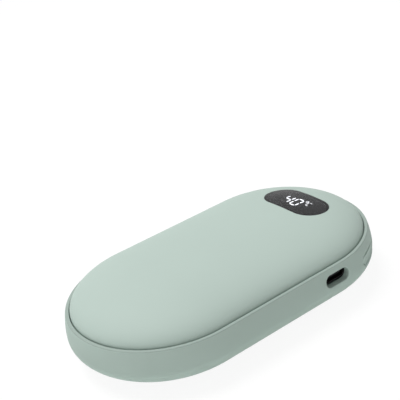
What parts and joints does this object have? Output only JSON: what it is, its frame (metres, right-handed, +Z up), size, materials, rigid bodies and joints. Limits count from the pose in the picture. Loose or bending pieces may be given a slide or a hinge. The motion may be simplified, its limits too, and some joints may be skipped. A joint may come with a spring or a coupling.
{
  "type": "rechargeable hand warmer",
  "caption": "Palm-sized rechargeable hand warmer: stadium-shaped tub, inset domed cover with a smoked digital display, side charging socket, push button and strap slot.",
  "frame": {"origin": "middle of the flat base, on the surface that the warmer lies on", "axes": "+X along the length to the end with the display, +Z up through the domed cover, the charging socket faces -Y"},
  "size_m": [0.109, 0.0636, 0.0248],
  "materials": {
    "sage_plastic": "fine soft-touch moulding in pale grey-green",
    "smoked_lens": "smoked polycarbonate, polished",
    "black_tape": "black foam adhesive ring",
    "black_plastic": "black moulding",
    "lit_white": "milky diffuser, lit",
    "dark_segment": "diffuser, not lit",
    "led_white": "light chip",
    "board_black": "black solder mask",
    "steel": "plated steel",
    "black_plate": "black-plated steel",
    "gold": "gold-plated contacts",
    "switch_white": "natural moulding",
    "cell_wrap": "shrink wrap over a steel can",
    "nickel": "nickel strip",
    "black_insulation": "insulated lead",
    "white_insulation": "insulated lead",
    "foam": "closed-cell foam",
    "aluminium_sheet": "rolled sheet",
    "amber_film": "polyimide heating film",
    "chip_black": "moulded package",
    "ferrite": "ferrite",
    "capacitor_tan": "ceramic chip"
  },
  "bodies": {
    "housing": {"rear_shell": "sage_plastic", "front_cover": "sage_plastic", "display_lens": "smoked_lens", "lens_tape": "black_tape", "display_frame": "black_plastic", "lit_segments": "lit_white", "unlit_segments": "dark_segment", "display_leds": "led_white", "main_board": "board_black", "board_screws": "steel", "socket_shell": "black_plate", "socket_core": "black_plastic", "socket_contacts": "gold", "switch_body": "black_plastic", "strap_pin": "steel", "left_cell": "cell_wrap", "right_cell": "cell_wrap", "positive_strip": "nickel", "negative_strip": "nickel", "negative_lead": "black_insulation", "foam_pads": "foam", "front_spreader": "aluminium_sheet", "rear_spreader": "aluminium_sheet", "front_heater": "amber_film", "rear_heater": "amber_film", "front_heater_leads": "white_insulation", "rear_heater_leads": "white_insulation", "thermistor": "black_insulation", "controller_chip": "chip_black", "charger_chip": "chip_black", "power_coil": "ferrite", "board_capacitors": "capacitor_tan"},
    "button": {"power_button": "sage_plastic", "switch_plunger": "switch_white"}
  },
  "joints": [
    {"name": "button_press", "type": "slide", "parent": "housing", "child": "button", "axis": [-0.5678, 0.8231, 0], "range_m": [0, 0.0004], "stiffness_N_per_m": 2000, "springref_m": -0.0003}
  ]
}
